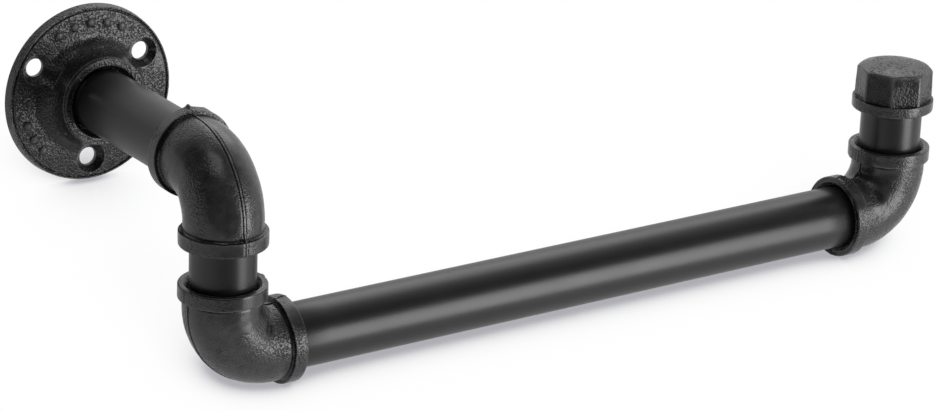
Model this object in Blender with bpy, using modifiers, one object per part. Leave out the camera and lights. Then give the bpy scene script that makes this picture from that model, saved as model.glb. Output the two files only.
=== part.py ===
"""Toilet paper holder built from screwed pipe and cast fittings.

A round flange screws to the wall. A short pipe stands out from it to an elbow,
a second elbow hangs below the first on a short nipple, and a long level pipe,
the bar that carries the roll, runs from there to a third elbow. That elbow
turns up and a capped nipple on it keeps the roll from sliding off.

Frame: the wall is the plane y = 0 and the holder stands out towards -Y.
The origin is the centre of the flange's back face, +Z is up and the bar runs
along +X. Every length is in metres.
"""

import math

import bmesh
import bpy
from mathutils import Matrix, Vector

MM = 0.001

# Driving dimensions
PIPE_R = 13.35 * MM              # 3/4 inch pipe, 26.7 mm outside
PIPE_WALL = 2.85 * MM
PROJECTION = 111.0 * MM          # wall to the axis of the drop
BAR_CENTRES = 340.0 * MM         # drop axis to the axis of the end riser
SHORT_SHOW = 16.4 * MM           # length of a short nipple seen between its fittings
ENGAGE = 11.6 * MM               # length of pipe screwed into each elbow
CAP_ENGAGE = 10.8 * MM           # length of pipe screwed into the cap
FIT_GAP = 0.3 * MM               # clearance between a pipe and its socket
SHOULDER_GAP = 1.4 * MM          # room between a pipe's end and the socket's floor

# Elbow casting
ELBOW_FACE = 29.2 * MM           # centre of the elbow to the face of each arm
ELBOW_BODY_R = 16.0 * MM
ELBOW_BEND_R = 20.0 * MM         # bend radius of the centre line
BAND_R = 18.0 * MM
BAND_WIDTH = 5.7 * MM
WATERWAY_R = 11.0 * MM

# Wall flange casting
FLANGE_R = 37.3 * MM
FLANGE_EDGE = 4.3 * MM           # thickness of the plate at its edge
FLANGE_DRAFT = 0.4 * MM          # how far the edge leans in towards the front
HUB_FOOT_R = 25.5 * MM
HUB_LIP_R = 18.3 * MM
HUB_HEIGHT = 16.8 * MM
WALL_NIPPLE_START = 4.5 * MM     # the nipple stops short of the wall
SCREW_HOLES = 3
SCREW_PCD = 56.0 * MM
SCREW_HOLE_R = 3.8 * MM
COUNTERSINK_R = 6.3 * MM
COUNTERSINK_DEPTH = 2.5 * MM

# End cap casting
CAP_BAND_R = 17.8 * MM
CAP_BAND_H = 4.7 * MM
CAP_HEAD_R = 16.9 * MM           # to the corners of the octagon
CAP_HEAD_H = 15.8 * MM
CAP_CROWN = 2.0 * MM             # rise of the domed top above its edge
CAP_HOLLOW_DEPTH = 16.5 * MM
CAP_TURN = math.radians(-43)   # how far round the cap has been tightened

# Facets of the round features
ROUND = 32
BEND_STEPS = 10

# Worked out from the above
SOCKET_R = PIPE_R + FIT_GAP
SOCKET_DEPTH = ENGAGE + SHOULDER_GAP
DROP = 2 * ELBOW_FACE + SHORT_SHOW
SHORT_LENGTH = SHORT_SHOW + 2 * ENGAGE
BAR_LENGTH = BAR_CENTRES - 2 * (ELBOW_FACE - ENGAGE)
WALL_NIPPLE_LENGTH = PROJECTION - ELBOW_FACE + ENGAGE - WALL_NIPPLE_START
UPPER_CENTRE = Vector((0, -PROJECTION, 0))
LOWER_CENTRE = UPPER_CENTRE - Vector((0, 0, DROP))
END_CENTRE = LOWER_CENTRE + Vector((BAR_CENTRES, 0, 0))

# Turning local +Z to the axis of each piece
FACING_OUT = Matrix.Rotation(math.radians(90), 4, "X")      # towards -Y
FACING_DOWN = Matrix.Rotation(math.radians(180), 4, "X")    # towards -Z
FACING_RIGHT = Matrix.Rotation(math.radians(90), 4, "Y")    # towards +X

for old in list(bpy.data.objects):
    bpy.data.objects.remove(old, do_unlink=True)

holder = bpy.data.collections.new("toilet_paper_holder")
cutters = bpy.data.collections.new("cutters")
bpy.context.scene.collection.children.link(holder)
bpy.context.scene.collection.children.link(cutters)


def finish_material(name, colour, roughness, metallic):
    """One Principled material."""
    material = bpy.data.materials.new(name)
    material.use_nodes = True
    shader = material.node_tree.nodes["Principled BSDF"]
    shader.inputs["Base Color"].default_value = (*colour, 1.0)
    shader.inputs["Roughness"].default_value = roughness
    shader.inputs["Metallic"].default_value = metallic
    return material


cast_black = finish_material("cast_black", (0.035, 0.035, 0.037), 0.42, 0.0)
pipe_black = finish_material("pipe_black", (0.03, 0.03, 0.032), 0.38, 0.0)


def add_object(name, mesh, collection):
    """A new object for a mesh; cutters are drawn as wire and never rendered."""
    obj = bpy.data.objects.new(name, mesh)
    collection.objects.link(obj)
    if collection is cutters:
        obj.hide_render = True
        obj.display_type = "WIRE"
    return obj


def turned(name, profile, collection, steps=ROUND):
    """Turn a profile of (radius, height) points about Z.

    The points run down the outer side. A profile that ends away from the axis
    is a ring, so it is closed up its bore.
    """
    mesh = bpy.data.meshes.new(name)
    points = [(radius, 0.0, height) for radius, height in profile]
    edges = [(i, i + 1) for i in range(len(points) - 1)]
    if profile[0][0] > 0:
        edges.append((len(points) - 1, 0))
    mesh.from_pydata(points, edges, [])
    obj = add_object(name, mesh, collection)
    screw = obj.modifiers.new("turn", "SCREW")
    screw.steps = steps
    screw.render_steps = steps
    screw.use_merge_vertices = True
    screw.merge_threshold = 0.00001
    return obj


def swept(name, path, radius, collection):
    """A round bar along a path, as a closed mesh."""
    curve = bpy.data.curves.new(name, "CURVE")
    curve.dimensions = "3D"
    curve.bevel_depth = radius
    curve.bevel_resolution = ROUND // 2 - 2
    curve.use_fill_caps = True
    spline = curve.splines.new("POLY")
    spline.points.add(len(path) - 1)
    for point, place in zip(spline.points, path):
        point.co = (*place, 1.0)
    guide = bpy.data.objects.new(name + "_path", curve)
    cutters.objects.link(guide)
    solid = evaluated_mesh(guide, name)
    bpy.data.objects.remove(guide, do_unlink=True)
    weld(solid)
    return add_object(name, solid, collection)


def evaluated_mesh(obj, name):
    """A copy of an object's mesh with its modifiers in effect."""
    graph = bpy.context.evaluated_depsgraph_get()
    mesh = bpy.data.meshes.new_from_object(obj.evaluated_get(graph))
    mesh.name = name
    return mesh


def weld(mesh):
    """Join the loose caps of a swept bar to its side."""
    shape = bmesh.new()
    shape.from_mesh(mesh)
    bmesh.ops.remove_doubles(shape, verts=shape.verts, dist=0.00001)
    bmesh.ops.recalc_face_normals(shape, faces=shape.faces)
    shape.to_mesh(mesh)
    shape.free()


def combine(obj, other, operation):
    """Join another object to this one, cut it away or keep what they share.

    The other object then goes wherever this one is placed.
    """
    other.parent = obj
    boolean = obj.modifiers.new(other.name, "BOOLEAN")
    boolean.operation = operation
    boolean.solver = "EXACT"
    boolean.object = other


def settle(obj, material):
    """Fix an object's modifiers in its mesh, shade it and give it its material."""
    mesh = evaluated_mesh(obj, obj.name)
    obj.modifiers.clear()
    obj.data = mesh
    mesh.materials.clear()
    mesh.materials.append(material)
    mesh.shade_smooth()
    mesh.set_sharp_from_angle(angle=math.radians(30))


def place(obj, position, facing=Matrix.Identity(4)):
    """Stand an object at a point of the holder's frame, turned by a rotation."""
    obj.matrix_world = Matrix.Translation(position) @ facing


# Wall flange: a drafted disc whose face flares up into a short threaded hub
def make_flange():
    flare = [
        (
            HUB_FOOT_R - (HUB_FOOT_R - HUB_LIP_R) * math.sin(angle),
            HUB_HEIGHT - (HUB_HEIGHT - FLANGE_EDGE) * math.cos(angle) ** 0.9,
        )
        for angle in (math.radians(90) * (1 - step / 8) for step in range(9))
    ]
    profile = [(SOCKET_R, HUB_HEIGHT)]
    profile += flare
    profile += [
        (FLANGE_R - FLANGE_DRAFT, FLANGE_EDGE),
        (FLANGE_R, 0.0),
        (SOCKET_R, 0.0),
    ]
    flange = turned("wall_flange", profile, holder)
    for hole in range(SCREW_HOLES):
        angle = math.radians(30) + hole * math.tau / SCREW_HOLES
        slope = (COUNTERSINK_R - SCREW_HOLE_R) / COUNTERSINK_DEPTH
        over = 4.0 * MM
        cutter = turned(
            f"screw_hole_{hole + 1}",
            [
                (0.0, FLANGE_EDGE + over),
                (COUNTERSINK_R + over * slope, FLANGE_EDGE + over),
                (SCREW_HOLE_R, FLANGE_EDGE - COUNTERSINK_DEPTH),
                (SCREW_HOLE_R, -over),
                (0.0, -over),
            ],
            cutters,
            steps=24,
        )
        reach = SCREW_PCD / 2
        cutter.location = (reach * math.cos(angle), reach * math.sin(angle), 0)
        combine(flange, cutter, "DIFFERENCE")
    settle(flange, cast_black)
    place(flange, Vector((0, 0, 0)), FACING_OUT)
    return flange


# Pipes: cut lengths of one tube
def make_pipe(name, length, start, facing):
    bore = PIPE_R - PIPE_WALL
    pipe = turned(
        name,
        [(PIPE_R, length), (PIPE_R, 0.0), (bore, 0.0), (bore, length)],
        holder,
    )
    settle(pipe, pipe_black)
    place(pipe, start, facing)
    return pipe


# Elbows: one casting used three times, with arms along local +X and +Z
def bend_path(end):
    """Centre line of the elbow, with straight arms that stop at a distance."""
    path = [Vector((end, 0, 0))]
    for step in range(BEND_STEPS + 1):
        angle = math.radians(90) * step / BEND_STEPS
        offset = ELBOW_BEND_R * (1 - math.sin(angle))
        rise = ELBOW_BEND_R * (1 - math.cos(angle))
        path.append(Vector((offset, 0, rise)))
    path.append(Vector((0, 0, end)))
    return path


def make_elbow_mesh():
    body = swept("elbow_body", bend_path(ELBOW_FACE - 1.0 * MM), ELBOW_BODY_R, cutters)
    waterway = swept("elbow_waterway", bend_path(ELBOW_FACE - 8.0 * MM), WATERWAY_R, cutters)
    for name, facing in (("side", FACING_RIGHT), ("top", Matrix.Identity(4))):
        band = turned(
            f"elbow_band_{name}",
            [(0, ELBOW_FACE), (BAND_R, ELBOW_FACE), (BAND_R, ELBOW_FACE - BAND_WIDTH),
             (0, ELBOW_FACE - BAND_WIDTH)],
            cutters,
        )
        place(band, Vector((0, 0, 0)), facing)
        combine(body, band, "UNION")
        socket = turned(
            f"elbow_socket_{name}",
            [(0, ELBOW_FACE + MM), (SOCKET_R, ELBOW_FACE + MM),
             (SOCKET_R, ELBOW_FACE - SOCKET_DEPTH), (0, ELBOW_FACE - SOCKET_DEPTH)],
            cutters,
        )
        place(socket, Vector((0, 0, 0)), facing)
        combine(body, socket, "DIFFERENCE")
    combine(body, waterway, "DIFFERENCE")
    bpy.context.view_layer.update()
    settle(body, cast_black)
    return body.data


def make_elbow(name, mesh, centre, turn):
    elbow = add_object(name, mesh, holder)
    place(elbow, centre, turn)
    return elbow


# End cap: an eight-sided head on a round band, with a blind threaded socket
def make_cap():
    head_foot = CAP_BAND_H - 1.0 * MM
    mesh = bpy.data.meshes.new("end_cap")
    shape = bmesh.new()
    bmesh.ops.create_cone(
        shape,
        cap_ends=True,
        segments=8,
        radius1=CAP_HEAD_R,
        radius2=CAP_HEAD_R,
        depth=CAP_HEAD_H + 4 * MM,
        matrix=Matrix.Translation((0, 0, head_foot + CAP_HEAD_H / 2 + 2 * MM)),
    )
    shape.to_mesh(mesh)
    shape.free()
    cap = add_object("end_cap", mesh, holder)

    top = CAP_BAND_H + CAP_HEAD_H
    crown = turned(
        "cap_crown",
        [
            (0.0, top),
            (CAP_HEAD_R * 0.5, top - CAP_CROWN * 0.25),
            (CAP_HEAD_R * 0.9, top - CAP_CROWN),
            (CAP_HEAD_R * 1.1, top - CAP_CROWN * 2.2),
            (CAP_HEAD_R * 1.1, head_foot - MM),
            (0.0, head_foot - MM),
        ],
        cutters,
    )
    combine(cap, crown, "INTERSECT")
    band = turned(
        "cap_band",
        [(0, CAP_BAND_H), (CAP_BAND_R, CAP_BAND_H), (CAP_BAND_R, 0), (0, 0)],
        cutters,
    )
    combine(cap, band, "UNION")
    hollow = turned(
        "cap_hollow",
        [(0, CAP_HOLLOW_DEPTH), (WATERWAY_R, CAP_HOLLOW_DEPTH), (WATERWAY_R, SOCKET_DEPTH),
         (SOCKET_R, SOCKET_DEPTH), (SOCKET_R, -MM), (0, -MM)],
        cutters,
    )
    combine(cap, hollow, "DIFFERENCE")
    settle(cap, cast_black)
    brim = END_CENTRE + Vector((0, 0, ELBOW_FACE - ENGAGE + SHORT_LENGTH - CAP_ENGAGE))
    place(cap, brim, Matrix.Rotation(CAP_TURN, 4, "Z"))
    return cap


in_socket = ELBOW_FACE - ENGAGE
elbow_mesh = make_elbow_mesh()
to_wall_and_down = Matrix(((0, 1, 0, 0), (1, 0, 0, 0), (0, 0, -1, 0), (0, 0, 0, 1)))
to_left_and_up = Matrix.Rotation(math.radians(180), 4, "Z")

pieces = [
    make_flange(),
    make_pipe("wall_nipple", WALL_NIPPLE_LENGTH, Vector((0, -WALL_NIPPLE_START, 0)), FACING_OUT),
    make_elbow("upper_elbow", elbow_mesh, UPPER_CENTRE, to_wall_and_down),
    make_pipe("drop_nipple", SHORT_LENGTH, UPPER_CENTRE - Vector((0, 0, in_socket)), FACING_DOWN),
    make_elbow("lower_elbow", elbow_mesh, LOWER_CENTRE, Matrix.Identity(4)),
    make_pipe("roll_bar", BAR_LENGTH, LOWER_CENTRE + Vector((in_socket, 0, 0)), FACING_RIGHT),
    make_elbow("end_elbow", elbow_mesh, END_CENTRE, to_left_and_up),
    make_pipe("end_nipple", SHORT_LENGTH, END_CENTRE + Vector((0, 0, in_socket)),
              Matrix.Identity(4)),
    make_cap(),
]

# Each piece hangs on the one before it, as they are screwed together
bpy.context.view_layer.update()
for before, piece in zip(pieces, pieces[1:]):
    stays = piece.matrix_world.copy()
    piece.parent = before
    piece.matrix_parent_inverse = before.matrix_world.inverted()
    piece.matrix_world = stays
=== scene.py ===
"""Looks of the screwed-pipe toilet paper holder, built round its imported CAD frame.

Lengths named with _MM are in millimetres. Every piece is made where the frame says it is.
"""

import math

import bmesh
import bpy
import numpy as np
from mathutils import Euler, Matrix, Vector, noise


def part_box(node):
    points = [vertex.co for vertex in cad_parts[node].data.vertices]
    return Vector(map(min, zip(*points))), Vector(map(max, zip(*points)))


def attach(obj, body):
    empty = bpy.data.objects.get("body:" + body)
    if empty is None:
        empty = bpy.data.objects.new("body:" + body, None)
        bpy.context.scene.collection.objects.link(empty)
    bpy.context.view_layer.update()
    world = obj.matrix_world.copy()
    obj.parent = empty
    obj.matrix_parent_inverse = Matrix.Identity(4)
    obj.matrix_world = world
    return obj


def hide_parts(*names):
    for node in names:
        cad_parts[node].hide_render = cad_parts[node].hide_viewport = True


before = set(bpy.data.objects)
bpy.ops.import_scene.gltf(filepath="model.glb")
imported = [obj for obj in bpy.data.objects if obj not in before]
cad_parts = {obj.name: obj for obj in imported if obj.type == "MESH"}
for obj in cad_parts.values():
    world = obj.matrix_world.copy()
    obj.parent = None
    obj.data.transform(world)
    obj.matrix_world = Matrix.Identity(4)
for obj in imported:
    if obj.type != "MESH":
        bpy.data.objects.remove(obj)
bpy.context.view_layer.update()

MM = 0.001

# ---------------------------------------------------------------------------
# Wall flange
# A grey-iron casting, drafted at its edge and flared up to a threaded hub. Three countersunk
# holes take wall screws. It is shot-blasted and powder-coated black, so the sand's grain shows.
# ---------------------------------------------------------------------------
def softened(outline):
    """Points of a closed outline of (a, b, softness), each corner rounded over its softness."""
    points = []
    for i, (a, b, soft) in enumerate(outline):
        corner = np.array((a, b), float)
        if not soft:
            points.append(corner)
            continue
        before = np.array(outline[i - 1][:2], float) - corner
        after = np.array(outline[(i + 1) % len(outline)][:2], float) - corner
        enter = corner + before * soft / np.linalg.norm(before)
        leave = corner + after * soft / np.linalg.norm(after)
        for t in (0.0, 0.2, 0.4, 0.6, 0.8, 1.0):
            points.append((1 - t) ** 2 * enter + 2 * t * (1 - t) * corner + t * t * leave)
    return points


def divided(points, step, closed=True):
    """An outline with points added so that none of its sides is longer than step."""
    fine = []
    for here, there in zip(points, points[1:] + points[:1] if closed else points[1:]):
        parts = max(1, math.ceil(np.linalg.norm(there - here) / step - 1e-6))
        fine += [here + (there - here) * k / parts for k in range(parts)]
    return fine if closed else fine + [points[-1]]


def ring_skin(name, rings):
    """A closed skin from rings of points in metres: each joins the next, and the last the first."""
    count, around = len(rings), len(rings[0])
    points = [tuple(point) for ring in rings for point in ring]
    faces = [
        (a * around + i, a * around + (i + 1) % around,
         (a + 1) % count * around + (i + 1) % around, (a + 1) % count * around + i)
        for a in range(count)
        for i in range(around)
    ]
    mesh = bpy.data.meshes.new(name)
    mesh.from_pydata(points, [], faces)
    shape = bmesh.new()
    shape.from_mesh(mesh)
    bmesh.ops.remove_doubles(shape, verts=shape.verts, dist=1e-7)
    bmesh.ops.recalc_face_normals(shape, faces=shape.faces)
    shape.to_mesh(mesh)
    shape.free()
    return mesh


THREAD_PITCH_MM = 25.4 / 14


def thread_dip(along_mm, angle, depth_mm):
    """How far a screw thread dips below its crest, at a place along and round it."""
    turn = (along_mm / THREAD_PITCH_MM - angle / math.tau) % 1.0
    return depth_mm * min(1.0, 1.25 * (1.0 - abs(2.0 * turn - 1.0)))


def cast_unevenness(place_mm, seed):
    """The slow waviness that a sand mould leaves on a casting, in millimetres."""
    point = Vector(place_mm) + Vector((seed * 31.7, seed * 17.3, -seed * 23.1))
    return 0.07 * noise.noise(point / 9.0) + 0.045 * noise.noise(point / 3.1)


def finished(name, mesh, material, node, place=Matrix.Identity(4), sharp_deg=38):
    """A mesh becomes a piece: placed, coated, and riding with the CAD node that it stands for."""
    mesh.transform(place)
    mesh.materials.clear()
    mesh.materials.append(material)
    mesh.shade_smooth()
    mesh.set_sharp_from_angle(angle=math.radians(sharp_deg))
    piece = bpy.data.objects.new(name, mesh)
    bpy.context.scene.collection.objects.link(piece)
    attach(piece, node)
    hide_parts(node)
    return piece


def node_group(name, inputs, outputs):
    """An empty shader node group: float inputs (name, value), and outputs (name, socket type)."""
    tree = bpy.data.node_groups.new(name, "ShaderNodeTree")
    for label, value in inputs:
        socket = tree.interface.new_socket(label, in_out="INPUT", socket_type="NodeSocketFloat")
        socket.default_value = value
    for label, kind in outputs:
        tree.interface.new_socket(label, in_out="OUTPUT", socket_type=kind)
    return tree


def add_node(tree, kind, settings=(), values=(), links=()):
    """A node with its settings, its inputs' values, and links from other outputs to its inputs."""
    node = tree.nodes.new(kind)
    for key, value in dict(settings).items():
        setattr(node, key, value)
    for key, value in dict(values).items():
        node.inputs[key].default_value = value
    for key, source in dict(links).items():
        tree.links.new(source, node.inputs[key])
    return node


def math_node(tree, operation, first, second, clamp=False):
    """A Math node whose two operands are each a socket or a number."""
    node = tree.nodes.new("ShaderNodeMath")
    node.operation = operation
    node.use_clamp = clamp
    for socket, operand in zip(node.inputs, (first, second)):
        if isinstance(operand, (int, float)):
            socket.default_value = operand
        else:
            tree.links.new(operand, socket)
    return node.outputs[0]


# The pebbled skin that moulding sand leaves under the coating: flat-topped, with small pits
pebbled_skin = node_group(
    "pebbled_skin",
    [("Pebbles per metre", 1000.0), ("Patches per metre", 100.0), ("Smooth share", 0.3)],
    [("Height", "NodeSocketFloat"), ("Pits", "NodeSocketFloat")],
)
enter = add_node(pebbled_skin, "NodeGroupInput")
place = add_node(pebbled_skin, "ShaderNodeTexCoord")
warp = add_node(
    pebbled_skin, "ShaderNodeTexNoise", values={"Scale": 420.0, "Detail": 1.0},
    links={"Vector": place.outputs["Object"]},
)
warp_small = add_node(
    pebbled_skin, "ShaderNodeVectorMath", {"operation": "SCALE"}, {"Scale": 0.0011},
    {0: warp.outputs["Color"]},
)
warped = add_node(
    pebbled_skin, "ShaderNodeVectorMath", {"operation": "ADD"},
    links={0: place.outputs["Object"], 1: warp_small.outputs[0]},
)
pebble = add_node(
    pebbled_skin, "ShaderNodeTexVoronoi", {"feature": "SMOOTH_F1"}, {"Smoothness": 0.4},
    {"Vector": warped.outputs[0], "Scale": enter.outputs["Pebbles per metre"]},
)
grit = add_node(
    pebbled_skin, "ShaderNodeTexNoise", values={"Detail": 2.0, "Roughness": 0.5},
    links={"Vector": place.outputs["Object"], "Scale": enter.outputs["Pebbles per metre"]},
)
swell = add_node(
    pebbled_skin, "ShaderNodeTexNoise", values={"Detail": 2.0},
    links={"Vector": place.outputs["Object"], "Scale": enter.outputs["Patches per metre"]},
)
above_smooth = math_node(pebbled_skin, "SUBTRACT", swell.outputs["Fac"], enter.outputs["Smooth share"])
pebbled = math_node(pebbled_skin, "MULTIPLY", above_smooth, 4.0, True)
bumps = math_node(pebbled_skin, "SUBTRACT", grit.outputs["Fac"], pebble.outputs["Distance"])
flat_topped = math_node(pebbled_skin, "SMOOTH_MIN", bumps, 0.12)
flat_topped.node.inputs[2].default_value = 0.12  # how softly the tops are cut off
height = math_node(pebbled_skin, "MULTIPLY", flat_topped, pebbled)
below_tops = math_node(pebbled_skin, "SUBTRACT", 0.1, bumps)
depth = math_node(pebbled_skin, "MULTIPLY", below_tops, 3.0, True)
pits = math_node(pebbled_skin, "MULTIPLY", depth, pebbled)
add_node(pebbled_skin, "NodeGroupOutput", links={"Height": height, "Pits": pits})

# A painted highlight: lighter colour along sharp edges, where they would catch the light
edge_highlight = node_group("edge_highlight", [("Reach", 0.05)], [("Edge", "NodeSocketFloat")])
enter = add_node(edge_highlight, "NodeGroupInput")
geometry = add_node(edge_highlight, "ShaderNodeNewGeometry")
place = add_node(edge_highlight, "ShaderNodeTexCoord")
breakup = add_node(
    edge_highlight, "ShaderNodeTexNoise", values={"Scale": 350.0, "Detail": 3.0},
    links={"Vector": place.outputs["Object"]},
)
raised = math_node(edge_highlight, "SUBTRACT", geometry.outputs["Pointiness"], 0.5)
sharper = math_node(edge_highlight, "DIVIDE", raised, enter.outputs["Reach"], True)
edge = math_node(edge_highlight, "MULTIPLY", sharper, breakup.outputs["Fac"])
add_node(edge_highlight, "NodeGroupOutput", links={"Edge": edge})

# Slow changes of gloss and tone in a powder coating
coat_mottle = node_group(
    "coat_mottle",
    [("Patches per metre", 90.0), ("Gloss", 0.4), ("Gloss change", 0.1)],
    [("Roughness", "NodeSocketFloat"), ("Tone", "NodeSocketFloat")],
)
enter = add_node(coat_mottle, "NodeGroupInput")
place = add_node(coat_mottle, "ShaderNodeTexCoord")
cloud = add_node(
    coat_mottle, "ShaderNodeTexNoise", values={"Detail": 4.0, "Roughness": 0.55},
    links={"Vector": place.outputs["Object"], "Scale": enter.outputs["Patches per metre"]},
)
centred = math_node(coat_mottle, "SUBTRACT", cloud.outputs["Fac"], 0.5)
swing = math_node(coat_mottle, "MULTIPLY", centred, enter.outputs["Gloss change"])
rough = math_node(coat_mottle, "ADD", swing, enter.outputs["Gloss"])
add_node(coat_mottle, "NodeGroupOutput", links={"Roughness": rough, "Tone": cloud.outputs["Fac"]})


def coated_iron(name, pebbles, patches, smooth_share, bump_mm, gloss):
    """Black powder coating over cast iron, with painted shade in the pits and a painted highlight along
    sharp edges.

    Pebbles and patches are per metre, and gloss is the mean roughness.
    """
    material = bpy.data.materials.new(name)
    material.use_nodes = True
    tree = material.node_tree
    shader = tree.nodes["Principled BSDF"]
    skin = add_node(
        tree, "ShaderNodeGroup", {"node_tree": pebbled_skin},
        {"Pebbles per metre": pebbles, "Patches per metre": patches, "Smooth share": smooth_share},
    )
    edges = add_node(tree, "ShaderNodeGroup", {"node_tree": edge_highlight}, {"Reach": 0.035})
    mottle = add_node(
        tree, "ShaderNodeGroup", {"node_tree": coat_mottle},
        {"Patches per metre": 110.0, "Gloss": gloss, "Gloss change": 0.16},
    )
    tone = add_node(
        tree, "ShaderNodeMix", {"data_type": "RGBA"},
        {6: (0.009, 0.009, 0.010, 1.0), 7: (0.018, 0.018, 0.020, 1.0)},
        {0: mottle.outputs["Tone"]},
    )
    # Painted shade: a darker colour in the pits of the grain
    pit_shade = add_node(
        tree, "ShaderNodeMix", {"data_type": "RGBA"}, {7: (0.0025, 0.0025, 0.003, 1.0)},
        {0: skin.outputs["Pits"], 6: tone.outputs[2]},
    )
    # Painted highlight: a lighter colour along sharp edges
    coloured = add_node(
        tree, "ShaderNodeMix", {"data_type": "RGBA"}, {7: (0.2, 0.2, 0.205, 1.0)},
        {0: edges.outputs["Edge"], 6: pit_shade.outputs[2]},
    )
    bump = add_node(
        tree, "ShaderNodeBump", values={"Strength": 1.0, "Distance": bump_mm * MM},
        links={"Height": skin.outputs["Height"]},
    )
    tree.links.new(coloured.outputs[2], shader.inputs["Base Color"])
    dulled = math_node(tree, "MULTIPLY", skin.outputs["Pits"], 0.3)
    roughness = math_node(tree, "ADD", mottle.outputs["Roughness"], dulled)
    tree.links.new(roughness, shader.inputs["Roughness"])
    tree.links.new(bump.outputs["Normal"], shader.inputs["Normal"])
    shader.inputs["IOR"].default_value = 1.5
    return material


flange_iron = coated_iron(
    "coated_flange_iron", pebbles=1150.0, patches=120.0, smooth_share=0.25, bump_mm=0.28, gloss=0.25,
)

flange_low, flange_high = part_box("wall_flange")
FLANGE_R_MM = flange_high.x / MM
FLANGE_HUB_MM = -flange_low.y / MM
PLATE_MM = 4.3
HUB_FOOT_R_MM, HUB_LIP_R_MM = 25.5, 18.3
PIPE_R_MM = (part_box("roll_bar")[1].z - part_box("roll_bar")[0].z) / 2 / MM
MOUTH_R_MM = PIPE_R_MM + 2.15
SOCKET_R_MM = PIPE_R_MM + 0.3
THREAD_DEPTH_MM = 0.75

# The hub flares up from the plate in a quarter of an ellipse
FLARE_TOP_MM = FLANGE_HUB_MM - 1.7
flare = []
for step in range(13):
    angle = math.radians(4 + 86 * step / 12)
    flare.append((
        HUB_FOOT_R_MM - (HUB_FOOT_R_MM - HUB_LIP_R_MM - 0.25) * math.sin(angle),
        FLARE_TOP_MM - (FLARE_TOP_MM - PLATE_MM) * math.cos(angle) ** 0.9,
        0,
    ))
flange_outline = [
    (SOCKET_R_MM, 0.0, 0.25),
    (SOCKET_R_MM, FLANGE_HUB_MM - 2.4, 0.2),
    (MOUTH_R_MM, FLANGE_HUB_MM, 0.3),
    (HUB_LIP_R_MM - 0.1, FLANGE_HUB_MM, 0.3),
    (HUB_LIP_R_MM, FLANGE_HUB_MM - 1.5, 0.2),
    *reversed(flare),
    (FLANGE_R_MM - 2.3, PLATE_MM - 0.1, 0.2),
    (FLANGE_R_MM - 1.9, PLATE_MM - 0.75, 0.15),
    (FLANGE_R_MM - 1.5, PLATE_MM - 0.7, 0.15),
    (FLANGE_R_MM - 1.2, PLATE_MM, 0.15),
    (FLANGE_R_MM - 0.5, PLATE_MM, 0.25),
    (FLANGE_R_MM - 0.05, 0.35, 0.3),
    (FLANGE_R_MM - 0.45, 0.0, 0.2),
]

# Plain round pips stand on the plate between the holes
PIP_DEGREES = (62, 76, 90, 104, 118, 198, 211, 224, -16, -29)
PIP_CIRCLE_MM, PIP_R_MM, PIP_MM = 30.3, 2.0, 0.75


def pip_height(radius, angle):
    """How far a pip stands above the plate at a place on it, in millimetres."""
    gap = min(abs((math.degrees(angle) - middle + 180) % 360 - 180) for middle in PIP_DEGREES)
    off = math.hypot(math.radians(gap) * PIP_CIRCLE_MM, radius - PIP_CIRCLE_MM)
    return PIP_MM * max(0.0, 1.0 - (off / PIP_R_MM) ** 2)


rings = []
for radius, out in divided(softened(flange_outline), 0.55):
    ring = []
    bore = radius < SOCKET_R_MM + 0.01 and out < FLANGE_HUB_MM - 2.5
    on_plate = out > PLATE_MM - 0.3 and HUB_FOOT_R_MM < radius < FLANGE_R_MM - 2.4
    for step in range(360):
        angle = math.radians(step)
        across, up = math.cos(angle), math.sin(angle)
        r, o = radius, out
        if bore:
            r += thread_dip(out, angle, THREAD_DEPTH_MM)
        elif out > 0.4:
            wave = cast_unevenness((radius * across, out * 1.5, radius * up), 1)
            if radius < FLANGE_R_MM - 0.6:
                pip = pip_height(radius, angle) if on_plate else 0.0
                o = min(out + wave * 1.2, FLANGE_HUB_MM) + pip
            else:
                r -= 0.1 + 0.5 * wave
        ring.append((r * across * MM, -o * MM, r * up * MM))
    rings.append(ring)
flange_mesh = ring_skin("wall_flange_casting", rings)

# The countersunk holes are drilled through the casting
SCREW_CIRCLE_MM, SCREW_HOLE_R_MM = 28.0, 3.8
COUNTERSINK_R_MM, COUNTERSINK_DEPTH_MM = 6.3, 2.5
DRILL_SIDES = 56
drill_outline = [
    (SCREW_HOLE_R_MM, -2.0),
    (SCREW_HOLE_R_MM, PLATE_MM - COUNTERSINK_DEPTH_MM - 0.25),
    (SCREW_HOLE_R_MM + 0.25, PLATE_MM - COUNTERSINK_DEPTH_MM),
    (COUNTERSINK_R_MM - 0.35, PLATE_MM - 0.6),
    (COUNTERSINK_R_MM + 0.05, PLATE_MM - 0.1),
    (COUNTERSINK_R_MM + 4.0, PLATE_MM + 3.8),
]
flange_blank = bpy.data.objects.new("flange_blank", flange_mesh)
bpy.context.scene.collection.objects.link(flange_blank)
drills = []
for hole in range(3):
    hole_angle = math.radians(30 + 120 * hole)
    shape = bmesh.new()
    layers = []
    for radius, out in drill_outline:
        layers.append([
            shape.verts.new((
                (SCREW_CIRCLE_MM * math.cos(hole_angle) + radius * math.cos(a)) * MM,
                -out * MM,
                (SCREW_CIRCLE_MM * math.sin(hole_angle) + radius * math.sin(a)) * MM,
            ))
            for a in (math.tau * k / DRILL_SIDES for k in range(DRILL_SIDES))
        ])
    for lower, upper in zip(layers, layers[1:]):
        for k in range(DRILL_SIDES):
            shape.faces.new((
                lower[k], lower[(k + 1) % DRILL_SIDES], upper[(k + 1) % DRILL_SIDES], upper[k],
            ))
    shape.faces.new(layers[0])
    shape.faces.new(layers[-1])
    bmesh.ops.recalc_face_normals(shape, faces=shape.faces)
    drill_mesh = bpy.data.meshes.new("drill")
    shape.to_mesh(drill_mesh)
    shape.free()
    drill = bpy.data.objects.new("drill", drill_mesh)
    bpy.context.scene.collection.objects.link(drill)
    cut = flange_blank.modifiers.new("drilled", "BOOLEAN")
    cut.operation = "DIFFERENCE"
    cut.solver = "EXACT"
    cut.object = drill
    drills.append(drill)
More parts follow.
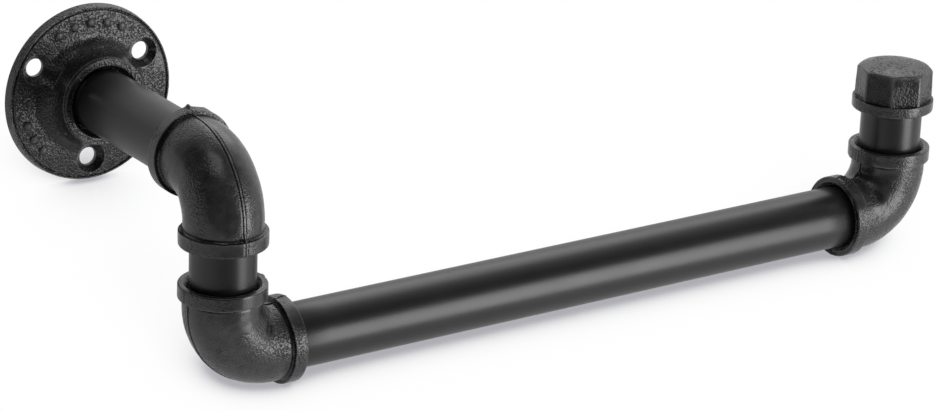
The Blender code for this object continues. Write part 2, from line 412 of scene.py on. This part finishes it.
drilled_mesh = bpy.data.meshes.new_from_object(
    flange_blank.evaluated_get(bpy.context.evaluated_depsgraph_get())
)
for helper in [flange_blank, *drills]:
    bpy.data.objects.remove(helper, do_unlink=True)
flange = finished("flange_casting", drilled_mesh, flange_iron, "wall_flange", sharp_deg=32)

# ---------------------------------------------------------------------------
# Cut pipes: wall nipple, drop nipple, roll bar and end nipple
# Seam-welded steel tube, threaded 14 to the inch at both ends and powder-coated a smooth satin
# black. Each end is screwed hand tight into the casting before and after it.
# ---------------------------------------------------------------------------
satin_pipe = bpy.data.materials.new("satin_coated_pipe")
satin_pipe.use_nodes = True
tree = satin_pipe.node_tree
shader = tree.nodes["Principled BSDF"]
mottle = add_node(
    tree, "ShaderNodeGroup", {"node_tree": coat_mottle},
    {"Patches per metre": 60.0, "Gloss": 0.34, "Gloss change": 0.08},
)
tone = add_node(
    tree, "ShaderNodeMix", {"data_type": "RGBA"},
    {6: (0.008, 0.008, 0.009, 1.0), 7: (0.0125, 0.0125, 0.014, 1.0)},
    {0: mottle.outputs["Tone"]},
)
edges = add_node(tree, "ShaderNodeGroup", {"node_tree": edge_highlight}, {"Reach": 0.08})
# Painted highlight: a lighter colour along sharp edges
coloured = add_node(
    tree, "ShaderNodeMix", {"data_type": "RGBA"}, {7: (0.06, 0.06, 0.062, 1.0)},
    {0: edges.outputs["Edge"], 6: tone.outputs[2]},
)
place = add_node(tree, "ShaderNodeTexCoord")
powder = add_node(
    tree, "ShaderNodeTexNoise", values={"Scale": 900.0, "Detail": 2.0, "Roughness": 0.5},
    links={"Vector": place.outputs["Object"]},
)
powder_bump = add_node(
    tree, "ShaderNodeBump", values={"Strength": 0.6, "Distance": 0.035 * MM},
    links={"Height": powder.outputs["Fac"]},
)
tree.links.new(coloured.outputs[2], shader.inputs["Base Color"])
tree.links.new(mottle.outputs["Roughness"], shader.inputs["Roughness"])
tree.links.new(powder_bump.outputs["Normal"], shader.inputs["Normal"])
shader.inputs["IOR"].default_value = 1.5

PIPE_BORE_R_MM = PIPE_R_MM - 2.85
PIPE_SIDES = 96
THREADED_MM, THREAD_RUN_OUT_MM = 11.2, 2.2
TAPER = 1 / 32


def pipe_mesh(name, length_mm):
    """A threaded pipe along +Z from the origin."""
    threaded = [0.3 * k for k in range(int(THREADED_MM / 0.3) + 1)]
    middle = [length_mm * k / 12 for k in range(1, 12)]
    plain = [along for along in middle if THREADED_MM < along < length_mm - THREADED_MM]
    places = threaded + plain + [length_mm - along for along in reversed(threaded)]
    bore = softened([(PIPE_BORE_R_MM, length_mm, 0.4), (PIPE_BORE_R_MM, 0.0, 0.4)])
    rings = []
    for radius, along in [(PIPE_R_MM, along) for along in places] + [tuple(point) for point in bore]:
        ring = []
        from_end = min(along, length_mm - along)
        for step in range(PIPE_SIDES):
            angle = math.tau * step / PIPE_SIDES
            r = radius
            if radius == PIPE_R_MM and from_end < THREADED_MM:
                fade = min(1.0, (THREADED_MM - from_end) / THREAD_RUN_OUT_MM)
                chamfer = max(0.0, 1.1 - from_end) * 0.8
                r -= max(fade * thread_dip(along, angle, 1.0), chamfer)
                r -= (THREADED_MM - from_end) * TAPER
            ring.append((r * math.cos(angle) * MM, r * math.sin(angle) * MM, along * MM))
        rings.append(ring)
    return ring_skin(name, rings)


POINTED = {
    "wall_nipple": Matrix.Rotation(math.radians(90), 4, "X"),
    "drop_nipple": Matrix.Rotation(math.radians(180), 4, "X"),
    "roll_bar": Matrix.Rotation(math.radians(90), 4, "Y"),
    "end_nipple": Matrix.Identity(4),
}
for node, pointed in POINTED.items():
    low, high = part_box(node)
    axis = pointed.to_3x3() @ Vector((0, 0, 1))
    length = abs((high - low).dot(axis))
    start = (low + high) / 2 - axis * length / 2
    pipe = finished(
        f"{node}_pipe", pipe_mesh(f"{node}_pipe", length / MM), satin_pipe, node,
        place=Matrix.Translation(start) @ pointed,
    )

# ---------------------------------------------------------------------------
# Three elbows
# Malleable-iron castings with a band round each threaded mouth. The two halves of the mould
# meet in the plane of the arms, which leaves a seam round the outside of the bend, and beads of
# metal stand where it crosses a band.
# ---------------------------------------------------------------------------
elbow_iron = coated_iron(
    "coated_elbow_iron", pebbles=1050.0, patches=75.0, smooth_share=0.42, bump_mm=0.36, gloss=0.25,
)

bar_low, bar_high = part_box("roll_bar")
drop_low, drop_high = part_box("drop_nipple")
riser_low, riser_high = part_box("end_nipple")
drop_axis_x = (drop_low.x + drop_high.x) / 2
bar_y, bar_z = (bar_low.y + bar_high.y) / 2, (bar_low.z + bar_high.z) / 2
riser_x = (riser_low.x + riser_high.x) / 2
elbow_places = {
    "upper_elbow": Vector((drop_axis_x, bar_y, (flange_low.z + flange_high.z) / 2)),
    "lower_elbow": Vector((drop_axis_x, bar_y, bar_z)),
    "end_elbow": Vector((riser_x, bar_y, bar_z)),
}
FACE_MM = (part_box("lower_elbow")[1].x - drop_axis_x) / MM
BODY_R_MM, BEND_R_MM = 16.0, 20.0
BAND_R_MM, BAND_MM = 18.0, 5.7
SOCKET_DEPTH_MM, WATERWAY_R_MM = 13.0, 11.0
ELBOW_LENGTH_MM = 2 * (FACE_MM - BEND_R_MM) + BEND_R_MM * math.pi / 2
# Half the section of the seam: (distance from its middle, height)
SEAM_MM = ((0.0, 0.20), (0.30, 0.20), (0.45, 0.05), (0.60, -0.10), (0.80, -0.06), (1.2, 0.0))


def along_elbow(distance_mm, bend_r_mm):
    """Centre and outward direction at a distance from the +X arm's face, round to the +Z arm's."""
    straight = FACE_MM - bend_r_mm
    arc = bend_r_mm * math.pi / 2
    if distance_mm <= straight:
        return Vector((FACE_MM - distance_mm, 0, 0)), Vector((0, 0, -1))
    if distance_mm >= straight + arc:
        return Vector((0, 0, bend_r_mm + distance_mm - straight - arc)), Vector((-1, 0, 0))
    turn = (distance_mm - straight) / bend_r_mm
    outward = Vector((-math.sin(turn), 0, -math.cos(turn)))
    return Vector((bend_r_mm, 0, bend_r_mm)) + outward * bend_r_mm, outward


def elbow_mesh(name, seed, rib_mm, marks):
    """One elbow with arms along +X and +Z.

    Marks are beads and dents: (distance along it, angle in degrees, height, spread).
    """
    length = ELBOW_LENGTH_MM
    half = [
        (MOUTH_R_MM, 0.0, 0.0),
        (MOUTH_R_MM + 0.3, 0.0, 0.0),
        (BAND_R_MM - 0.1, 0.0, 0.4),
        (BAND_R_MM, 0.6, 0.25),
        (BAND_R_MM, BAND_MM, 0.3),
        (BODY_R_MM + 0.35, BAND_MM, 0.2),
        (BODY_R_MM - 0.25, BAND_MM + 0.45, 0.2),
        (BODY_R_MM, BAND_MM + 1.3, 0.3),
    ]
    far_half = [(r, length - s, soft) for r, s, soft in reversed(half)]
    outside = divided(softened(half + far_half), 0.75, closed=False)

    inner_bend = FACE_MM - SOCKET_DEPTH_MM
    inner_length = 2 * SOCKET_DEPTH_MM + inner_bend * math.pi / 2
    mouth = [(MOUTH_R_MM - 0.9, 0.8), (SOCKET_R_MM + 0.1, 2.1)]
    thread_rings = int((SOCKET_DEPTH_MM - 2.9) / 0.45) + 1
    thread = [(SOCKET_R_MM, 2.3 + 0.45 * k) for k in range(thread_rings)]
    floor = [(SOCKET_R_MM, SOCKET_DEPTH_MM - 0.2), (WATERWAY_R_MM, SOCKET_DEPTH_MM)]
    near = mouth + thread + floor
    bend = [
        (WATERWAY_R_MM, SOCKET_DEPTH_MM + (inner_length - 2 * SOCKET_DEPTH_MM) * k / 12)
        for k in range(1, 12)
    ]
    inside = near + bend + [(r, inner_length - s) for r, s in reversed(near)]

    # Points are close together across the seams, outside and inside the bend
    seam_offsets = [offset for offset, _ in SEAM_MM]
    seam_heights = [height for _, height in SEAM_MM]
    wide = (seam_offsets[-1] + 0.35) / BODY_R_MM
    span = math.pi - 2 * wide
    angles = []
    for middle in (0.0, math.pi):
        angles += [middle + offset / BODY_R_MM for offset in seam_offsets]
        angles += [middle - offset / BODY_R_MM for offset in seam_offsets[1:]]
        angles += [middle + wide + span * k / 30 for k in range(31)]
    angles = sorted(angle % math.tau for angle in angles)

    rings = []
    for radius, distance in outside:
        ring = []
        on_band = radius > BODY_R_MM + 1.0
        from_face = min(distance, length - distance)
        for angle in angles:
            ragged = noise.noise(Vector((math.cos(angle), math.sin(angle), seed)) * 4.5)
            shift = 0.0
            if radius > BODY_R_MM + 0.3:
                shift = 0.3 * ragged * max(0.0, 1.0 - abs(from_face - BAND_MM) / 1.5)
                shift += 0.2 * max(0.0, ragged) * max(0.0, 1.0 - from_face)
            shifted = distance + shift if distance < length / 2 else distance - shift
            centre, outward = along_elbow(shifted, BEND_R_MM)
            direction = outward * math.cos(angle) + Vector((0, 1, 0)) * math.sin(angle)
            off = min(angle, math.tau - angle, abs(angle - math.pi)) * BODY_R_MM
            seam = np.interp(off, seam_offsets, seam_heights)
            r = radius + 1.5 * cast_unevenness(centre + direction * radius, seed)
            if on_band:
                r = min(r, radius - 0.02) + 0.8 * (seam - seam_heights[0])
            elif radius > BODY_R_MM - 0.1:
                r += 1.5 * seam
            if abs(angle - math.pi) < 1.0 and not on_band:
                middle = math.exp(-(((distance - length / 2) / 9.0) ** 2))
                r += rib_mm * middle * math.exp(-((off / 1.0) ** 4))
            for at, degrees, height, spread in marks:
                if on_band and BAND_MM < at < length - BAND_MM:
                    continue
                gap = (angle - math.radians(degrees) + math.pi) % math.tau - math.pi
                r += height * math.exp(-((distance - at) ** 2 + (gap * radius) ** 2) / spread ** 2)
            ring.append((centre + direction * r) * MM)
        rings.append(ring)
    for radius, distance in reversed(inside):
        centre, outward = along_elbow(distance, inner_bend)
        from_face = min(distance, inner_length - distance)
        threaded = radius == SOCKET_R_MM and from_face < SOCKET_DEPTH_MM - 0.5
        ring = []
        for angle in angles:
            r = radius + (thread_dip(distance, angle, THREAD_DEPTH_MM) if threaded else 0.0)
            direction = outward * math.cos(angle) + Vector((0, 1, 0)) * math.sin(angle)
            ring.append((centre + direction * r) * MM)
        rings.append(ring)
    return ring_skin(name, rings)


TURNED = {
    "upper_elbow": Matrix(((0, 1, 0, 0), (1, 0, 0, 0), (0, 0, -1, 0), (0, 0, 0, 1))),
    "lower_elbow": Matrix.Identity(4),
    "end_elbow": Matrix.Rotation(math.radians(180), 4, "Z"),
}
CASTINGS = {
    "upper_elbow": dict(
        seed=3, rib_mm=0.3,
        marks=[
            (1.2, 0, 1.3, 1.3), (1.6, 24, 0.5, 1.5),
            (ELBOW_LENGTH_MM - 6.3, 0, 1.3, 0.9), (22.0, 250, -0.45, 4.0),
        ],
    ),
    "lower_elbow": dict(
        seed=5, rib_mm=0.6,
        marks=[(ELBOW_LENGTH_MM - 1.4, 180, 1.2, 1.3), (2.0, 180, 0.7, 1.3), (21.0, 232, -0.9, 3.4)],
    ),
    "end_elbow": dict(
        seed=8, rib_mm=1.3,
        marks=[(2.4, 180, 1.1, 1.4), (ELBOW_LENGTH_MM - 5.0, 150, 0.4, 1.5), (20.0, 128, -0.5, 3.5)],
    ),
}
for node, where in elbow_places.items():
    elbow = finished(
        f"{node}_casting", elbow_mesh(f"{node}_casting", **CASTINGS[node]), elbow_iron, node,
        place=Matrix.Translation(where) @ TURNED[node],
    )

# ---------------------------------------------------------------------------
# End cap
# A malleable-iron cap cast with an eight-sided head for a wrench on a round band. It is screwed
# on the riser, and its corners and rim are left a little rounded by the mould.
# ---------------------------------------------------------------------------
cap_iron = coated_iron(
    "coated_cap_iron", pebbles=1050.0, patches=110.0, smooth_share=0.3, bump_mm=0.25, gloss=0.24,
)

cap_low, cap_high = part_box("end_cap")
CAP_MM = (cap_high.z - cap_low.z) / MM
CAP_BAND_R_MM, CAP_BAND_MM = 17.75, 4.7
CAP_CORNER_R_MM, CAP_CROWN_MM, HEAD_DRAFT_MM = 16.85, 2.0, 0.35
CAP_HOLLOW_MM = 16.5
CAP_TURN_DEG = -43.0
CAP_SIDES = 192
cap_angles = [math.tau * k / CAP_SIDES for k in range(CAP_SIDES)]


def eight_sided(angle, corner_r):
    """Radius of an octagon with slightly rounded corners."""
    sharpness = 110
    total = 0.0
    for side in range(8):
        towards_side = math.cos(angle - side * math.pi / 4 - math.pi / 8)
        total += max(0.0, towards_side) ** sharpness
    return corner_r * math.cos(math.pi / 8) * 1.007 / total ** (1 / sharpness)


def crown(radius):
    """Height of the domed top at a distance from its axis."""
    share = radius / CAP_CORNER_R_MM
    return CAP_MM - CAP_CROWN_MM * (1.1 * share ** 2 + 0.4 * share ** 12)


def round_ring(radius, height_mm, sag_mm=0.0, dip_mm=0.0):
    """A ring of the cap round its axis, wavy by its sag, or following its thread by its dip."""
    ring = []
    for angle in cap_angles:
        wave = noise.noise(Vector((math.cos(angle), math.sin(angle), 4.0)) * 2.2)
        r = radius + (thread_dip(height_mm, angle, dip_mm) if dip_mm else 0.0)
        z = height_mm + sag_mm * wave
        ring.append((r * math.cos(angle) * MM, r * math.sin(angle) * MM, z * MM))
    return ring


def head_ring(inset, scale, share, drop):
    """A ring of the eight-sided head, set in and scaled, at a share of the way up to the crown."""
    ring = []
    for angle in cap_angles:
        r = (eight_sided(angle, CAP_CORNER_R_MM) - inset) * scale
        z = CAP_BAND_MM + (crown(r) - CAP_BAND_MM) * share - drop
        wave = cast_unevenness((r * math.cos(angle), r * math.sin(angle), z), 11)
        r += wave * scale
        z += min(0.0, wave) if share == 1.0 else 0.0
        ring.append((r * math.cos(angle) * MM, r * math.sin(angle) * MM, z * MM))
    return ring


hollow = [
    (0.25, CAP_HOLLOW_MM), (4.0, CAP_HOLLOW_MM), (8.0, CAP_HOLLOW_MM - 0.2),
    (WATERWAY_R_MM - 0.4, CAP_HOLLOW_MM - 0.9), (WATERWAY_R_MM, SOCKET_DEPTH_MM),
]
cap_rings = [round_ring(radius, height_mm) for radius, height_mm in hollow]
for k in range(23):
    cap_rings.append(round_ring(SOCKET_R_MM, SOCKET_DEPTH_MM - 0.6 - 0.45 * k, dip_mm=THREAD_DEPTH_MM))
cap_rings += [round_ring(SOCKET_R_MM + 0.1, 2.1), round_ring(MOUTH_R_MM - 0.9, 0.8)]
cap_band = softened([
    (MOUTH_R_MM, 0.0, 0.2), (CAP_BAND_R_MM - 0.3, 0.0, 0.3), (CAP_BAND_R_MM, 0.6, 0.3),
    (CAP_BAND_R_MM, CAP_BAND_MM, 0.3), (CAP_CORNER_R_MM - 0.1, CAP_BAND_MM, 0.0),
])
cap_rings += [
    round_ring(radius, height_mm, sag_mm=0.25 if 0.3 < height_mm < CAP_BAND_MM + 0.1 else 0.0)
    for radius, height_mm in cap_band
]
cap_rings += [head_ring(HEAD_DRAFT_MM * k / 24, 1.0, 0.97 * k / 24, 0.0) for k in range(25)]
cap_rings += [head_ring(inset, 1.0, 1.0, drop) for inset, drop in ((0.42, 0.2), (0.58, 0.06), (0.85, 0.0))]
cap_rings += [head_ring(0.85, 1 - k / 22, 1.0, 0.0) for k in range(1, 22)]


def capped_skin(name, rings):
    """A closed skin from rings, with its first and last ring each filled by a disc of triangles."""
    around = len(rings[0])
    points = [tuple(p) for ring in rings for p in ring]
    faces = [
        (a * around + i, a * around + (i + 1) % around,
         (a + 1) * around + (i + 1) % around, (a + 1) * around + i)
        for a in range(len(rings) - 1)
        for i in range(around)
    ]
    for ring_index in (0, len(rings) - 1):
        points.append(tuple(np.mean(np.array([tuple(p) for p in rings[ring_index]]), axis=0)))
        tip = len(points) - 1
        start = ring_index * around
        faces += [(start + i, start + (i + 1) % around, tip) for i in range(around)]
    mesh = bpy.data.meshes.new(name)
    mesh.from_pydata(points, [], faces)
    shape = bmesh.new()
    shape.from_mesh(mesh)
    bmesh.ops.recalc_face_normals(shape, faces=shape.faces)
    shape.to_mesh(mesh)
    shape.free()
    return mesh


cap_turn = Matrix.Rotation(math.radians(CAP_TURN_DEG), 4, "Z")
cap = finished(
    "end_cap_casting", capped_skin("end_cap_casting", cap_rings), cap_iron, "end_cap",
    place=Matrix.Translation((riser_x, bar_y, cap_low.z)) @ cap_turn,
)

# ---------------------------------------------------------------------------
# Table, light and camera
# The holder lies on a white table, resting on the rim of its flange and on its elbows. Two soft
# boxes light it, one in front to the right and one above and behind.
# ---------------------------------------------------------------------------
scene = bpy.context.scene
scene.view_settings.view_transform = "Standard"

flange_rest = Vector((0, 0, flange_low.z))
elbow_rest = Vector((0, bar_y - 7.0 * MM, bar_z - BAND_R_MM * MM))
slope = math.atan2(flange_rest.z - elbow_rest.z, flange_rest.y - elbow_rest.y)
table_up = Vector((0, -math.sin(slope), math.cos(slope)))
TABLE_HALF_M = 2.2
table_mesh = bpy.data.meshes.new("table_top")
table_mesh.from_pydata(
    [(-TABLE_HALF_M, -TABLE_HALF_M, 0), (TABLE_HALF_M, -TABLE_HALF_M, 0),
     (TABLE_HALF_M, TABLE_HALF_M, 0), (-TABLE_HALF_M, TABLE_HALF_M, 0)], [], [(0, 1, 2, 3)],
)
table = bpy.data.objects.new("table_top", table_mesh)
scene.collection.objects.link(table)
table.matrix_world = Matrix.Translation(elbow_rest - table_up * 0.3 * MM) @ Matrix.Rotation(slope, 4, "X")

table_white = bpy.data.materials.new("table_white")
table_white.use_nodes = True
tree = table_white.node_tree
tree.nodes.clear()
light_path = add_node(tree, "ShaderNodeLightPath")
side = add_node(tree, "ShaderNodeNewGeometry")
front = math_node(tree, "SUBTRACT", 1.0, side.outputs["Backfacing"])
# To the eye it is a clear sheet with a painted shadow, grey where something stands close above it, so that
# an arm swung below it still shows. To every other ray it is white paper.
closeness = add_node(
    tree, "ShaderNodeAmbientOcclusion", {"samples": 24}, {"Color": (1, 1, 1, 1), "Distance": 0.065},
)
covered = math_node(tree, "SUBTRACT", 1.0, closeness.outputs["AO"])
in_shade = math_node(tree, "MULTIPLY", math_node(tree, "POWER", covered, 4.0), 5.5, True)
shade = add_node(
    tree, "ShaderNodeMix", {"data_type": "RGBA"},
    {6: (1.0, 1.0, 1.0, 1.0), 7: (0.42, 0.42, 0.45, 1.0)}, {0: in_shade},
)
clear = add_node(tree, "ShaderNodeBsdfTransparent")
shaded = add_node(tree, "ShaderNodeBsdfTransparent", links={"Color": shade.outputs[2]})
paper = add_node(tree, "ShaderNodeBsdfDiffuse", values={"Color": (0.86, 0.86, 0.88, 1.0)})
lift = add_node(tree, "ShaderNodeEmission", values={"Color": (1, 1, 1, 1), "Strength": 0.33})
lit = add_node(tree, "ShaderNodeAddShader", links={0: paper.outputs[0], 1: lift.outputs[0]})
to_eye = math_node(tree, "MULTIPLY", light_path.outputs["Is Camera Ray"], front)
neither = math_node(
    tree, "ADD", light_path.outputs["Is Camera Ray"], light_path.outputs["Is Shadow Ray"], True,
)
to_others = math_node(tree, "MULTIPLY", math_node(tree, "SUBTRACT", 1.0, neither), front)
seen = add_node(tree, "ShaderNodeMixShader", links={0: to_eye, 1: clear.outputs[0], 2: shaded.outputs[0]})
mixed = add_node(tree, "ShaderNodeMixShader", links={0: to_others, 1: seen.outputs[0], 2: lit.outputs[0]})
add_node(tree, "ShaderNodeOutputMaterial", links={"Surface": mixed.outputs[0]})
table_mesh.materials.append(table_white)

world = bpy.data.worlds.new("studio")
scene.world = world
world.use_nodes = True
tree = world.node_tree
tree.nodes.clear()
light_path = add_node(tree, "ShaderNodeLightPath")
direction = add_node(tree, "ShaderNodeTexCoord")
# The backdrop stands behind the holder to the right, and the room in front of it is dim
towards_backdrop = add_node(
    tree, "ShaderNodeVectorMath", {"operation": "DOT_PRODUCT"}, {1: (0.57, 0.82, 0.0)},
    {0: direction.outputs["Generated"]},
)
backdrop = add_node(
    tree, "ShaderNodeMapRange", {"interpolation_type": "SMOOTHSTEP"},
    {"From Min": -0.15, "From Max": 0.75}, {"Value": towards_backdrop.outputs["Value"]},
)
room_level = add_node(
    tree, "ShaderNodeMapRange", values={"To Min": 0.02, "To Max": 0.8},
    links={"Value": backdrop.outputs[0]},
)
mirrored = math_node(
    tree, "ADD", light_path.outputs["Is Glossy Ray"], light_path.outputs["Is Transmission Ray"], True,
)
mirrored_backdrop = math_node(tree, "MULTIPLY", mirrored, backdrop.outputs[0])
white_share = math_node(tree, "ADD", light_path.outputs["Is Camera Ray"], mirrored_backdrop, True)
room = add_node(
    tree, "ShaderNodeBackground", values={"Color": (1, 1, 1, 1)},
    links={"Strength": room_level.outputs[0]},
)
white = add_node(tree, "ShaderNodeBackground", values={"Color": (1, 1, 1, 1), "Strength": 1.0})
chosen = add_node(
    tree, "ShaderNodeMixShader", links={0: white_share, 1: room.outputs[0], 2: white.outputs[0]},
)
add_node(tree, "ShaderNodeOutputWorld", links={"Surface": chosen.outputs[0]})

holder_middle = Vector((0.16, -0.09, -0.04))
LAMPS = {
    "front_box": dict(place=(0.92, -1.35, -0.10), size=(0.75, 1.0), watts=15.5),
    "back_box": dict(place=(0.80, 0.55, 0.95), size=(0.9, 0.7), watts=3.3),
    "top_box": dict(place=(-0.25, -0.55, 1.25), size=(0.7, 0.7), watts=2.4),
}
for name, lamp in LAMPS.items():
    light = bpy.data.lights.new(name, "AREA")
    light.shape = "RECTANGLE"
    light.size, light.size_y = lamp["size"]
    light.energy = lamp["watts"]
    holder = bpy.data.objects.new(name, light)
    scene.collection.objects.link(holder)
    holder.location = lamp["place"]
    holder.rotation_euler = (holder_middle - Vector(lamp["place"])).to_track_quat("-Z", "Y").to_euler()

camera_data = bpy.data.cameras.new("camera")
camera_data.sensor_width = 36.0
camera_data.lens = 137.83
camera_data.shift_x = -0.0008
camera_data.shift_y = 0.0047
camera = bpy.data.objects.new("camera", camera_data)
scene.collection.objects.link(camera)
camera.matrix_world = (
    Matrix.Translation((-0.66903, -1.23005, 0.47544))
    @ Euler([math.radians(a) for a in (69.455, -2.112, -34.269)], "XYZ").to_matrix().to_4x4()
)
scene.camera = camera
